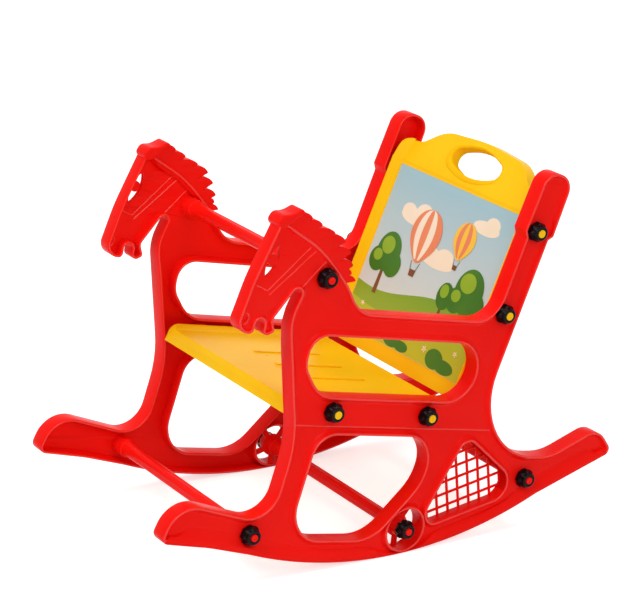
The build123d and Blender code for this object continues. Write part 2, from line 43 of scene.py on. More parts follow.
# The drawing plane of the sides, as in the CAD: u rearward, v upward, millimetres
TILT = radians(10.1)
ORIGIN = (10.3313, 30.9054)
SIDE = Matrix((
    (0, 0, MM, 0),
    (MM * cos(TILT), MM * sin(TILT), 0, MM * ORIGIN[0]),
    (-MM * sin(TILT), MM * cos(TILT), 0, MM * ORIGIN[1]),
    (0, 0, 0, 1),
))
MIRROR = Matrix.Scale(-1, 4, (1, 0, 0))

# Depths of a side across the chair; its face is sunk behind the rim, and deeper under the ledge line
OUT_X = 162.0
IN_X = 138.0
WEB_X = OUT_X - 5.0
LOW_WEB_X = OUT_X - 6.5
LEDGE_V = 133.0
INSIDE_X = LOW_WEB_X - 2.2
WINDOW_LOW = OUT_X - 19.0
INSET = 2.0

# The inner edge stands back at the head: by how much, from where, and over what length it comes in
HEAD_THIN = 3.6
HEAD_V, HEAD_RISE = 225, 40
HEAD_U, HEAD_REACH = -190, 30

# Outline of a side: (u, v, corner radius), round from the front of the runner
RUNNER_R = 580.0
RUNNER_C = (-108.0, 538.5)
ARC_FRONT, ARC_REAR = -225.0, 205.0
NOSE = [(-285.0, -20.5, 200.0), (-354.5, -15.0, 9.0), (-342.0, 37.0, 38.0)]
CHEST = [(-205.5, 9.8, 36.0), (-197.0, 112.0, 160.0), (-244.5, 262.0, 60.0)]
THROAT = [(-233.8, 300.5, 6.0), (-246.0, 300.0, 5.0)]
JAW = [(-268.5, 262.0, 8.0), (-262.0, 247.5, 4.0)]
MOUTH = [(-279.0, 238.5, 6.5), (-278.5, 261.5, 6.4), (-291.5, 261.5, 6.4), (-291.5, 243.6, 6.0)]
MUZZLE = [(-318.0, 243.0, 16.0), (-307.5, 306.0, 200.0), (-288.0, 375.0, 1.5)]
FOREHEAD = (-283.0, 378.0, 1.5)
CREST = [(-221.6, 351.2, 150.0), (-172.0, 309.5, 80.0)]
RAIL = [(-146.0, 275.8, 45.0), (64.8, 275.8, 35.0)]
POST_HEAD = (82.0, 385.0, 1.5)
FINIAL = [(77.5, 393.5, 2.0), (91.5, 471.8, 21.0), (135.4, 464.4, 21.0), (125.0, 389.0, 2.0)]
POST_BACK = (118.0, 384.0, 1.5)
HAUNCH = [(71.5, 97.0, 95.0), (213.4, 101.5, 70.0), (285.0, 141.5, 28.0), (320.0, 109.8, 9.0)]

# Openings of a side
ARM_HOLE = [(-205.5, 245.5, 24.0), (-204.8, 206.0, 30.0), (-175.2, 170.8, 46.0), (54.5, 170.8, 37.3),
            (54.5, 245.5, 37.3)]
LEG_HOLE = [(-162.5, 123.0, 30.0), (-173.7, -11.8, 43.0), (-46.4, -11.8, 55.0), (11.0, 62.5, 60.0),
            (15.0, 123.0, 38.0)]
WINDOW = [(67.5, 125.0, 14.0), (179.5, 56.5, 22.0), (21.5, 0.5, 15.0)]
MESH_CENTRE, MESH_TURN, MESH_PITCH, MESH_REACH = (100.8, 56.2), 20.0, 16.5, 6
MESH_ROD_R, MESH_ROD_X, MESH_SHORTEST = 1.8, WINDOW_LOW + 2.6, 6
WHEEL, WHEEL_R, HUB_R = (3.6, 1.2), 27.0, 15.0
SPOKES, SPOKE_TURN, SPOKE_HALF, SPOKE_FROM, SPOKE_TO = 5, 62, 3.75, 8, 28.5

# Head: forelock, mane locks as (crown, tip, notch), eye, nostril, bridle and the line behind the cheek
FORELOCK = [(-286.0, 369.0, 4.0), (-293.0, 374.5, 6.0), (-288.5, 386.0, 9.0), (-275.0, 387.3, 24.0),
            (-262.5, 395.5, 5.0), (-254.5, 390.5, 3.0), (-266.0, 384.0, 8.0), (-278.0, 372.5, 5.0)]
MANE_START = (-260.5, 389.5)
MANE = [
    ((-254.0, 389.0), (-246.0, 385.0), (-248.5, 381.0)),
    ((-239.0, 382.0), (-230.0, 378.0), (-234.0, 373.0)),
    ((-222.0, 373.5), (-209.5, 369.8), (-212.5, 366.0)),
    ((-203.0, 366.5), (-192.0, 361.0), (-203.0, 350.5)),
    ((-193.0, 353.0), (-181.0, 348.0), (-191.0, 337.0)),
    ((-183.0, 338.0), (-173.0, 333.0), (-178.0, 327.0)),
    ((-176.0, 326.5), (-172.5, 323.5), (-176.0, 319.5)),
    ((-171.0, 319.0), (-165.0, 315.5), (-174.0, 311.5)),
]
MANE_FOOT = [(-177.0, 306.5), (-223.2, 346.0), (-272.0, 364.0), (-276.0, 385.0)]
LOCK_SWELL, LOCK_END, LOCK_UNDER = Vector((0.8, 1.6)), Vector((1.6, -2.6)), Vector((0.6, -1.8))
LOCK_LONGER, LOCK_BACK, NOTCH_DEEPER, NOTCH_START = 2.4, 2.0, 1.6, 0.4
EYE_TOP, EYE_LOW, EYE_WIDTH = (-279.8, 350.5), (-290.8, 311.0), 12.6
SOCKET = 0.8
PUPIL, PUPIL_R = (-285.0, 332.0), 7.0
NOSTRIL, NOSTRIL_R, NOSTRIL_LOOP = (-305.5, 261.0), 3.2, (4.6, 6.6)
BRIDLE = [((-300.5, 301.4), (-283.5, 295.5)), ((-283.5, 295.5), (-236.0, 351.0)),
          ((-280.0, 290.5), (-227.5, 347.0))]
CHEEK_LOW, CHEEK_HIGH, CHEEK_THROAT = (-240.0, 297.0), (-207.0, 339.0), (-247.0, 300.0)
POST_LINE = ((80.5, 389.5), (118.5, 386.5))

STUDS = {
    "handle": (-205.0, 315.6), "front_lower": (-229.0, -5.0), "middle_lower": (3.6, 1.2),
    "rear_lower": (180.5, 70.5), "seat_front": (-149.5, 151.6), "seat_rear": (-4.5, 150.4),
    "back_lower": (78.2, 286.3), "back_upper": (96.6, 393.6),
}
BARS = ("handle", "front_lower", "middle_lower", "rear_lower")
BOSS_R = 11.8


# Flat drawing
ARC_STEP, ARC_LENGTH, SWEEP_STEPS = radians(7), 14, 40
MITRE, RIM_MITRE = 0.35, 0.5


def share(t):
    """t held between 0 and 1."""
    return max(0.0, min(1.0, t))


def face_x(v):
    """Depth of a side's sunk face at a height."""
    return WEB_X if v > LEDGE_V else LOW_WEB_X


def turn_between(first, last):
    """Signed angle from one direction to another."""
    return atan2(first.x * last.y - first.y * last.x, first.dot(last))


def arc(centre, radius, start, turn, count):
    """Points of an arc from the angle start, both ends included."""
    return [centre + radius * Vector((cos(start + turn * k / count), sin(start + turn * k / count)))
            for k in range(count + 1)]


def rounded(corners, sweep=None):
    """Closed line through rounded (u, v, radius) corners; sweep is (centre, radius) of a closing arc."""
    line = []
    n = len(corners)
    for i, (u, v, r) in enumerate(corners):
        cur = Vector((u, v))
        if r <= 0:
            line.append(cur)
            continue
        a = (Vector(corners[i - 1][:2]) - cur).normalized()
        b = (Vector(corners[(i + 1) % n][:2]) - cur).normalized()
        half = acos(max(-1, min(1, a.dot(b)))) / 2
        centre = cur + (a + b).normalized() * (r / sin(half))
        first = cur + a * (r / tan(half)) - centre
        last = cur + b * (r / tan(half)) - centre
        turn = turn_between(first, last)
        count = max(2, int(abs(turn) / ARC_STEP) + 1, int(abs(turn) * r / ARC_LENGTH) + 1)
        line += arc(centre, r, atan2(first.y, first.x), turn, count)
    if sweep:
        centre, radius = Vector(sweep[0]), sweep[1]
        first, last = line[-1] - centre, line[0] - centre
        line += arc(centre, radius, atan2(first.y, first.x), turn_between(first, last), SWEEP_STEPS)[1:-1]
    return line


def oval(centre, wide, high, count=40):
    return [Vector((centre[0] + wide * cos(2 * pi * k / count), centre[1] + high * sin(2 * pi * k / count)))
            for k in range(count)]


def ring(centre, radius, count=40):
    return oval(centre, radius, radius, count)


def bowed(a, b, c, count):
    """Points of the arc from a through b to c."""
    a, b, c = Vector(a), Vector(b), Vector(c)
    d = 2 * (a.x * (b.y - c.y) + b.x * (c.y - a.y) + c.x * (a.y - b.y))
    sa, sb, sc = a.length_squared, b.length_squared, c.length_squared
    centre = Vector(((sa * (b.y - c.y) + sb * (c.y - a.y) + sc * (a.y - b.y)) / d,
                     (sa * (c.x - b.x) + sb * (a.x - c.x) + sc * (b.x - a.x)) / d))
    first, middle, last = a - centre, b - centre, c - centre
    turn = turn_between(first, middle) + turn_between(middle, last)
    return arc(centre, first.length, atan2(first.y, first.x), turn, count)


def area(line):
    return sum(p.x * q.y - q.x * p.y for p, q in zip(line, line[1:] + line[:1])) / 2


def moved_out(line, amount):
    """The closed line moved outward by amount (inward below 0), without the points that would fold back."""
    pts = [p for i, p in enumerate(line) if (p - line[i - 1]).length > 1e-4]
    if area(pts) < 0:
        pts.reverse()
    n = len(pts)
    out = []
    for i, p in enumerate(pts):
        a = (p - pts[i - 1]).normalized()
        b = (pts[(i + 1) % n] - p).normalized()
        na, nb = Vector((a.y, -a.x)), Vector((b.y, -b.x))
        out.append(p + amount * (na + nb) / max(MITRE, 1 + na.dot(nb)))
    keep = []
    for i in range(n):
        j = (i + 1) % n
        if (out[i] - out[i - 1]).dot(pts[i] - pts[i - 1]) > 0 or (out[j] - out[i]).dot(pts[j] - pts[i]) > 0:
            keep.append(out[i])
    return keep


def softened(line, turns=2):
    """The closed line with its corners cut, so that tips and notches are round."""
    for _ in range(turns):
        line = [q for a, b in zip(line, line[1:] + line[:1])
                for q in (a * 0.75 + b * 0.25, a * 0.25 + b * 0.75)]
    return line


def above(line, level):
    """The longest run of a closed line over a level, cut off at it."""
    n = len(line)
    low = [i for i in range(n) if line[i].y < level]
    start, end = max(zip(low, low[1:] + [low[0] + n]), key=lambda pair: pair[1] - pair[0])
    run = [line[i % n] for i in range(start, end + 1)]
    for i, j in ((0, 1), (-1, -2)):
        run[i] = run[j] + (run[i] - run[j]) * (run[j].y - level) / (run[j].y - run[i].y)
    return run


def dense(line, step):
    """The closed line with points no more than step apart."""
    out = []
    for p, q in zip(line, line[1:] + line[:1]):
        count = max(1, int((q - p).length / step + 0.999))
        out += [p + (q - p) * k / count for k in range(count)]
    return out


def runner(u):
    return (u, RUNNER_C[1] - sqrt(RUNNER_R**2 - (u - RUNNER_C[0])**2), 0)


outline = rounded(
    [runner(ARC_FRONT), *NOSE, *CHEST, *THROAT, *JAW, *MOUTH, *MUZZLE, FOREHEAD, *CREST, *RAIL, POST_HEAD,
     *FINIAL, POST_BACK, *HAUNCH, runner(ARC_REAR)],
    (RUNNER_C, RUNNER_R),
)
arm_hole, leg_hole, window = rounded(ARM_HOLE), rounded(LEG_HOLE), rounded(WINDOW)
wheel_hole = ring(WHEEL, WHEEL_R, 56)


# Solids from flat drawings
def mesh_of(bm, name):
    mesh = bpy.data.meshes.new(name)
    bm.to_mesh(mesh)
    bm.free()
    return mesh


def plate(outer, holes, low, high, edge, res=2):
    """Mesh of a flat shape from x = low to high, its edges rounded by edge."""
    data = bpy.data.curves.new("plate", "CURVE")
    data.dimensions = "2D"
    data.fill_mode = "BOTH"
    data.extrude = (high - low) / 2 - edge
    data.bevel_depth = edge
    data.bevel_resolution = res
    for line in [moved_out(outer, -edge), *[moved_out(hole, edge) for hole in holes]]:
        spline = data.splines.new("POLY")
        spline.points.add(len(line) - 1)
        for point, p in zip(spline.points, line):
            point.co = (p.x, p.y, 0, 1)
        spline.use_cyclic_u = True
    obj = bpy.data.objects.new("plate", data)
    bpy.context.collection.objects.link(obj)
    mesh = bpy.data.meshes.new_from_object(obj.evaluated_get(bpy.context.evaluated_depsgraph_get()))
    bpy.data.objects.remove(obj)
    bpy.data.curves.remove(data)
    mesh.transform(Matrix.Translation((0, 0, (low + high) / 2)))
    return mesh


def rod(a, b, x, radius, shade=0):
    """Mesh of a round bar lying in the drawing plane from a to b."""
    a, b = Vector((*a, x)), Vector((*b, x))
    bm = bmesh.new()
    bmesh.ops.create_cone(bm, cap_ends=True, segments=10, radius1=radius, radius2=radius,
                          depth=(b - a).length)
    turn = Vector((0, 0, 1)).rotation_difference(b - a).to_matrix().to_4x4()
    bm.transform(Matrix.Translation((a + b) / 2) @ turn)
    for face in bm.faces:
        face.material_index = shade
    return mesh_of(bm, "rod")


def piece(name, meshes, material, body, nodes=(), matrix=None, mirrored=False, angle=32):
    """One object of several meshes, shaded smooth up to an angle, riding on a body."""
    bm = bmesh.new()
    for mesh in meshes:
        bm.from_mesh(mesh)
    bmesh.ops.remove_doubles(bm, verts=bm.verts, dist=1e-5)
    if matrix:
        bm.transform(matrix)
    if mirrored:
        bm.transform(MIRROR)
        bmesh.ops.reverse_faces(bm, faces=bm.faces)
    data = mesh_of(bm, name)
    data.shade_smooth()
    data.set_sharp_from_angle(angle=radians(angle))
    for layer in material if isinstance(material, list) else [material]:
        data.materials.append(layer)
    obj = bpy.data.objects.new(name, data)
    bpy.context.collection.objects.link(obj)
    if nodes:
        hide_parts(*nodes)
    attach(obj, body)
    return obj


# Materials
FLOW_SCALE, GLOSS_SCALE, GRAIN_SCALE = 9.0, 55.0, 420.0
GLOSS_SPREAD, GRAIN_STRENGTH, GRAIN_DEPTH = 0.06, 0.03, 0.0006
PRINT_ROUGH, PRINT_SHINE, FILM_SHINE = 0.4, 0.2, 0.25


def nodes_of(name):
    material = bpy.data.materials.new(name)
    material.use_nodes = True
    tree = material.node_tree
    return material, tree.nodes, tree.links, tree.nodes["Principled BSDF"]


def noise(nodes, links, coords, scale, detail=3.0):
    node = nodes.new("ShaderNodeTexNoise")
    node.inputs["Scale"].default_value = scale
    node.inputs["Detail"].default_value = detail
    links.new(coords.outputs["Object"], node.inputs["Vector"])
    return node.outputs["Fac"]


def ramp(nodes, links, value, low, high, first=0.3, last=0.7):
    node = nodes.new("ShaderNodeValToRGB")
    node.color_ramp.elements[0].position = first
    node.color_ramp.elements[1].position = last
    node.color_ramp.elements[0].color = (*low, 1)
    node.color_ramp.elements[1].color = (*high, 1)
    links.new(value, node.inputs["Fac"])
    return node.outputs["Color"]


def plastic(name, low, high, rough, shine):
    """Moulded plastic: faint flow shades, uneven gloss and a fine moulded grain."""
    material, nodes, links, shader = nodes_of(name)
    coords = nodes.new("ShaderNodeTexCoord")
    flow = noise(nodes, links, coords, FLOW_SCALE)
    links.new(ramp(nodes, links, flow, low, high), shader.inputs["Base Color"])
    gloss = nodes.new("ShaderNodeMapRange")
    gloss.inputs["To Min"].default_value = rough - GLOSS_SPREAD
    gloss.inputs["To Max"].default_value = rough + GLOSS_SPREAD
    links.new(noise(nodes, links, coords, GLOSS_SCALE, 5.0), gloss.inputs["Value"])
    links.new(gloss.outputs["Result"], shader.inputs["Roughness"])
    bump = nodes.new("ShaderNodeBump")
    bump.inputs["Strength"].default_value = GRAIN_STRENGTH
    bump.inputs["Distance"].default_value = GRAIN_DEPTH
    links.new(noise(nodes, links, coords, GRAIN_SCALE, 2.0), bump.inputs["Height"])
    links.new(bump.outputs["Normal"], shader.inputs["Normal"])
    shader.inputs["Specular IOR Level"].default_value = shine
    return material


def ink(name, low, high):
    return plastic(name, low, high, PRINT_ROUGH, PRINT_SHINE)


def graded(name, low, high, start, end):
    """Printed film whose colour runs up the backrest from low to high."""
    material, nodes, links, shader = nodes_of(name)
    coords = nodes.new("ShaderNodeTexCoord")
    split = nodes.new("ShaderNodeSeparateXYZ")
    links.new(coords.outputs["Object"], split.inputs["Vector"])
    height = nodes.new("ShaderNodeMapRange")
    height.inputs["From Min"].default_value = start
    height.inputs["From Max"].default_value = end
    links.new(split.outputs["Z"], height.inputs["Value"])
    tone = ramp(nodes, links, height.outputs["Result"], low, high, 0.0, 1.0)
    links.new(tone, shader.inputs["Base Color"])
    shader.inputs["Roughness"].default_value = PRINT_ROUGH
    shader.inputs["Specular IOR Level"].default_value = FILM_SHINE
    return material


red = plastic("red_plastic", (0.90, 0.006, 0.003), (0.97, 0.010, 0.006), 0.3, 0.06)
# The paler red of the rim crests, rounded inner edges and beads is a painted highlight; its higher shine is
# real gloss.
red_edge_painted_highlight = plastic("red_edge_painted_highlight", (0.90, 0.022, 0.014), (0.95, 0.030, 0.020), 0.24, 0.36)
# The darker red of the walls deep in the window is painted shade; its matt finish is real.
red_wall_painted_shade = plastic("red_wall_painted_shade", (0.62, 0.004, 0.002), (0.72, 0.007, 0.004), 0.6, 0.0)
yellow = plastic("yellow_plastic", (0.97, 0.52, 0.004), (1.0, 0.60, 0.010), 0.3, 0.06)
# The slightly darker yellow of the hand-hole lip is painted shade; its matt finish is real.
yellow_lip_painted_shade = plastic("yellow_lip_painted_shade", (0.93, 0.48, 0.004), (0.98, 0.56, 0.010), 0.6, 0.0)
black = plastic("black_plastic", (0.004, 0.002, 0.003), (0.009, 0.005, 0.006), 0.16, 0.09)


# Sides
# Material slots of a side: plain red, the paler red of painted highlight, the darker red of painted shade.
FACE, EDGE_HIGHLIGHT, WALL = 0, 1, 2
SIDE_REDS = [red, red_edge_painted_highlight, red_wall_painted_shade]

# Rows of a rim: (way in, way back) of its inner edge; (way in, drop, share of the rim's height) of its outer
INNER = [(3.2, 1.5), (2.8, 0.4), (2.2, 0.0), (1.4, 0.05), (0.7, 0.35), (0.2, 0.9), (0.0, 1.8)]
OUTER = [(0.0, 1.8, 1.0), (0.25, 0.8, 1.0), (0.8, 0.25, 1.0), (1.6, 0.0, 1.0), (2.4, 0.0, 0.97),
         (3.1, 0.0, 0.86), (3.9, 0.0, 0.66), (5.0, 0.0, 0.38), (6.6, 0.0, 0.12), (8.6, 0.1, 0.0)]
WALL_IN, WALL_SINK = 3.6, 1.5
RIM_STEP, RIM_TOP, STUD_CLEAR = 6.0, 2.0, 13.9

# How far a rim may reach in before another edge is near; it spreads along the underside of the runner
REACH_FROM, REACH_STEP, REACH, REACH_SLACK = 1.5, 0.5, 9.0, 0.9
FOOT_V, FOOT_FROM, FOOT_BLEND, FOOT_REACH, FOOT_SPREAD = 120, 0.8, 0.35, 13.0, 1.6


def edge_tree(loops):
    points = [p for loop in loops for p in dense(loop, 2.0)]
    tree = KDTree(len(points))
    for i, p in enumerate(points):
        tree.insert((p.x, p.y, 0), i)
    tree.balance()
    return tree


def thinner(p):
    """How far the inner edge of a side stands back at the head."""
    return HEAD_THIN * share((p.y - HEAD_V) / HEAD_RISE) * share((HEAD_U - p.x) / HEAD_REACH)


def is_clear(tree, p, way, far):
    """Whether the place that far in from p has no other edge nearer to it."""
    return tree.find((p.x + way.x * far, p.y + way.y * far, 0))[2] > REACH_SLACK * far


def rim_ways(line, tree, hole):
    """For each point of an edge: the way in, how far in a rim may go, and how far it is the runner's foot."""
    n = len(line)
    ways, depth, feet = [], [], []
    for i, p in enumerate(line):
        a = (p - line[i - 1]).normalized()
        b = (line[(i + 1) % n] - p).normalized()
        na, nb = Vector((-a.y, a.x)), Vector((-b.y, b.x))
        way = (na + nb) / max(RIM_MITRE, 1 + na.dot(nb))
        down = -way.normalized().y
        foot = 1 - share((down + FOOT_FROM) / FOOT_BLEND) if p.y < FOOT_V and not hole else 0.0
        far = REACH_FROM
        while far < REACH + FOOT_REACH * foot and is_clear(tree, p, way, far + REACH_STEP):
            far += REACH_STEP
        ways.append(way)
        depth.append(far)
        feet.append(foot)
    depth = [min(depth[(i + k) % n] for k in range(-2, 3)) for i in range(n)]
    for _ in range(3):
        depth = [min(depth[i], (depth[i - 1] + depth[i] + depth[(i + 1) % n]) / 3) for i in range(n)]
    return ways, depth, feet


def rim(line, tree, hole, low):
    """Edge of a side: rounded inner edge, wall, thin raised rim and a soft slope down to the face. The crest
    and the rounded inner edge get the paler red of painted highlight, and the walls in the window the darker
    red of painted shade.
    """
    line = dense(line, RIM_STEP)
    if (area(line) > 0) == hole:
        line.reverse()
    n = len(line)
    ways, depth, feet = rim_ways(line, tree, hole)
    rings = [[(p + w * min(WALL_IN, d), face_x(p.y) - WALL_SINK) for p, w, d in zip(line, ways, depth)]]
    for off, rise in INNER:
        rings.append([(p + w * min(off, d), low + rise + thinner(p)) for p, w, d in zip(line, ways, depth)])
    for off, drop, keep in OUTER:
        sloped = off > RIM_TOP
        row = []
        for p, w, d, foot in zip(line, ways, depth, feet):
            q = p + w * min(off * (1 + FOOT_SPREAD * foot) if sloped else off, d)
            face = face_x(q.y)
            near = sloped and min((q - Vector(s)).length for s in STUDS.values()) < STUD_CLEAR
            row.append((q, face - drop + (0 if near else keep * (OUT_X - face))))
        rings.append(row)
    bm = bmesh.new()
    verts = [[bm.verts.new((q.x, q.y, x)) for q, x in row] for row in rings]
    outer = len(INNER) + 1
    for i, (a, b) in enumerate(zip(verts[:-1], verts[1:])):
        for k in range(n):
            face = bm.faces.new((a[k], a[(k + 1) % n], b[(k + 1) % n], b[k]))
            # Crests and rounded inner edges take the painted-highlight red; walls in the window take the
            # painted-shade red.
            crest = outer < i < outer + 5 and feet[k] < 0.5
            shaded = low > IN_X and i < outer and ways[k].y > -0.3
            face.material_index = WALL if shaded else EDGE_HIGHLIGHT if crest or 1 < i < 5 else FACE
    return mesh_of(bm, "rim")


def eye_parts():
    """The whole eye, and its two open corners over and under the pupil."""
    top, low, centre = Vector(EYE_TOP), Vector(EYE_LOW), Vector(PUPIL)
    across = Vector((low.y - top.y, top.x - low.x)).normalized() * (EYE_WIDTH / 2)
    down = bowed(top, (top + low) / 2 + across, low, 24)
    up = bowed(low, (top + low) / 2 - across, top, 24)

    def covered(line):
        """First point of a lid under the pupil, and the first one past it."""
        under = [i for i, p in enumerate(line) if (p - centre).length < PUPIL_R]
        return under[0], under[-1] + 1

    def round_pupil(a, b):
        first, last = a - centre, b - centre
        return arc(centre, PUPIL_R, atan2(first.y, first.x), turn_between(first, last), 8)

    down_in, down_out = covered(down)
    up_in, up_out = covered(up)
    upper = down[:down_in] + round_pupil(down[down_in - 1], up[up_out]) + up[up_out:-1]
    lower = up[:up_in] + round_pupil(up[up_in - 1], down[down_out]) + down[down_out:-1]
    return down[:-1] + up[:-1], [upper, lower]


def cheek_meshes(inset, eyes):
    """The raised cheek with the eye and nostril open in it, and the beads on both faces of the head."""
    first, last = (min(range(len(inset)), key=lambda i: (inset[i] - Vector(mark)).length)
                   for mark in (CHEEK_THROAT, CHEEK_HIGH))
    span = inset[min(first, last):max(first, last) + 1]
    line = [Vector(CHEEK_LOW), *span] if first < last else [*span, Vector(CHEEK_LOW)]
    parts = [plate(line, [*eyes, ring(NOSTRIL, NOSTRIL_R, 20)], WEB_X - 1.4, WEB_X + 1.6, 0.7, 3)]
    wide, high = NOSTRIL_LOOP
    loop = [Vector(NOSTRIL) + Vector((wide * cos(radians(t)), high * sin(radians(t))))
            for t in range(-110, 111, 20)]
    for a, b in [*BRIDLE, (CHEEK_LOW, CHEEK_HIGH), *zip(loop, loop[1:])]:
        # The beads take the paler red of painted highlight.
        parts += [rod(a, b, WEB_X + 1.3, 1.0, EDGE_HIGHLIGHT), rod(a, b, INSIDE_X, 1.0, EDGE_HIGHLIGHT)]
    return parts


def mane_mesh():
    locks = []
    start = MANE_START
    for crown, tip, notch in MANE:
        back = (Vector(notch) - Vector(tip)).normalized()
        far = Vector(tip) - back * LOCK_LONGER
        locks += bowed(start, Vector(crown) + LOCK_SWELL, far, 4)
        locks += [far + LOCK_END, Vector(tip) + back * LOCK_BACK + LOCK_UNDER,
                  Vector(notch) + back * NOTCH_DEEPER]
        start = Vector(notch) + back * NOTCH_START
    locks += [Vector(p) for p in MANE_FOOT]
    return plate(softened(locks), [], IN_X + 8, OUT_X - 2.5, 0.8, 3)


def wheel_meshes():
    """Hub and spokes of the toy wheel."""
    hub = Vector(WHEEL)
    parts = [plate(ring(WHEEL, HUB_R), [], IN_X + 1.5, IN_X + 6, 0.8, 2)]
    for k in range(SPOKES):
        turn = radians(SPOKE_TURN + 360 / SPOKES * k)
        way, across = Vector((cos(turn), sin(turn))), Vector((-sin(turn), cos(turn)))
        spoke = [hub + way * SPOKE_FROM + across * SPOKE_HALF, hub + way * SPOKE_FROM - across * SPOKE_HALF,
                 hub + way * SPOKE_TO - across * SPOKE_HALF, hub + way * SPOKE_TO + across * SPOKE_HALF]
        parts.append(plate(spoke, [], IN_X + 1.6, IN_X + 5.6, 0.9, 2))
    return parts


def grid_meshes(window_in):
    """The two sets of rods across the window, each cut off at its edge."""
    middle = Vector(MESH_CENTRE)
    parts = []
    for turn in (MESH_TURN, MESH_TURN + 90):
        way = Vector((cos(radians(turn)), sin(radians(turn))))
        across = Vector((-way.y, way.x))
        for k in range(-MESH_REACH, MESH_REACH + 1):
            cuts = []
            for p, q in zip(window_in, window_in[1:] + window_in[:1]):
                sp, sq = ((r - middle).dot(across) - MESH_PITCH * k for r in (p, q))
                if sp * sq < 0:
                    cuts.append(p + (q - p) * sp / (sp - sq))
            if len(cuts) == 2 and (cuts[0] - cuts[1]).length > MESH_SHORTEST:
                parts.append(rod(cuts[0], cuts[1], MESH_ROD_X, MESH_ROD_R))
    return parts


def side_meshes():
    loops = [outline, arm_hole, leg_hole, window, wheel_hole]
    tree = edge_tree(loops)
    inset = moved_out(outline, -INSET)
    arm_in, leg_in, window_in, wheel_in = (moved_out(hole, INSET) for hole in loops[1:])
    eye, eyes = eye_parts()
    socket = moved_out(eye, SOCKET)
    upper = above(inset, LEDGE_V)
    return [
        *[rim(loop, tree, loop is not outline, WINDOW_LOW if loop is window else IN_X) for loop in loops],
        plate(inset, [arm_in, leg_in, window_in, wheel_in, socket], INSIDE_X, LOW_WEB_X, 0.1, 0),
        plate(upper, [arm_in, socket], INSIDE_X + 1.0, WEB_X, 0.7, 3),
        # The ledge bead takes the paler red of painted highlight.
        rod(upper[0], upper[-1], WEB_X - 0.4, 1.3, EDGE_HIGHLIGHT),
        *cheek_meshes(inset, eyes),
        mane_mesh(),
        plate(rounded(FORELOCK), [], IN_X, OUT_X, 2.2, 4),
        # The post line takes the paler red of painted highlight.
        rod(*POST_LINE, WEB_X - 0.2, 1.3, EDGE_HIGHLIGHT),
        *[plate(ring(stud, BOSS_R), [], IN_X, face_x(stud[1]), 0.5, 1) for stud in STUDS.values()],
        *wheel_meshes(),
        *grid_meshes(window_in),
    ]


shapes = side_meshes()
piece("left_side_shell", shapes, SIDE_REDS, "frame", ["left_side"], SIDE)
piece("right_side_shell", shapes, SIDE_REDS, "frame", ["right_side"], SIDE, True)


# Hand nuts and cross bars, turned about their studs: rows of (x, radius)
NUT_ROWS = [(0.0, 5.6), (0.0, 10.6), (0.4, 11.4), (1.2, 11.9), (3.5, 12.0), (5.5, 11.9), (7.0, 11.6),
            (8.4, 11.0), (9.6, 10.3), (10.8, 9.9), (12.0, 9.6), (13.0, 9.3), (13.6, 8.8), (13.95, 8.1),
            (14.0, 7.2), (13.7, 6.2), (13.2, 5.4), (12.6, 5.0), (9.0, 4.9)]
LOBES, LOBE_HEIGHT, LOBE_MIN_R, LOBE_END, LOBE_FADE = 8, 0.95, 9.4, 11.0, 5.0
BAR_END = [(108.0, 8.5), (115.0, 8.7), (121.0, 9.1), (126.0, 9.7), (130.0, 10.4), (130.2, 11.2),
           (130.8, 11.7), (132.0, 11.9), (136.8, 11.9), (138.0, 11.4)]
BAR_ROWS = [(-x, r) for x, r in reversed(BAR_END)] + [(-50.0, 8.5), (0.0, 8.5), (50.0, 8.5)] + BAR_END
FLUTES, FLUTE_DEPTH, FLUTE_GAP, FLUTE_END, FLUTE_FADE = 4, 0.9, 0.35, 112.0, 14.0
TIP_ROWS = [(0.0, 4.6), (13.9, 4.6), (14.4, 4.3), (14.6, 3.9), (14.6, 2.1), (14.2, 1.6), (14.0, 0.8)]
NUT_GAP = 0.3


def turned(rows, count, shape):
    """Mesh of rings round X; shape(x, radius, angle) gives the radius there."""
    bm = bmesh.new()
    rings = []
    for x, radius in rows:
        row = []
        for k in range(count):
            turn = 2 * pi * k / count
            r = shape(x, radius, turn)
            row.append(bm.verts.new((x, r * cos(turn), r * sin(turn))))
        rings.append(row)
    for a, b in zip(rings[:-1], rings[1:]):
        for k in range(count):
            bm.faces.new((a[k], a[(k + 1) % count], b[(k + 1) % count], b[k]))
    bm.faces.new(list(reversed(rings[0])))
    bm.faces.new(rings[-1])
    bmesh.ops.recalc_face_normals(bm, faces=bm.faces)
    return mesh_of(bm, "turned")


def nut_radius(x, radius, turn):
    """Eight lobes that fade out towards the end of the nut."""
    fade = share((LOBE_END - x) / LOBE_FADE)
    return radius + (LOBE_HEIGHT * fade * cos(LOBES * turn) if radius > LOBE_MIN_R else 0)


def bar_radius(x, radius, turn):
    """Four shallow flutes along the middle of a bar."""
    depth = FLUTE_DEPTH * share((FLUTE_END - abs(x)) / FLUTE_FADE)
    return radius - depth * max(0.0, (cos(FLUTES * turn) - FLUTE_GAP) / (1 - FLUTE_GAP)) ** 0.5


def facing(outward):
    return Matrix.Identity(4) if outward > 0 else Matrix.Rotation(pi, 4, "Z")


def at_stud(stud, x, outward):
    """Place of a turned mesh: its X along a stud, from x outward."""
    y = ORIGIN[0] + stud[0] * cos(TILT) + stud[1] * sin(TILT)
    z = ORIGIN[1] - stud[0] * sin(TILT) + stud[1] * cos(TILT)
    return Matrix.Translation((MM * x * outward, MM * y, MM * z)) @ facing(outward) @ Matrix.Scale(MM, 4)


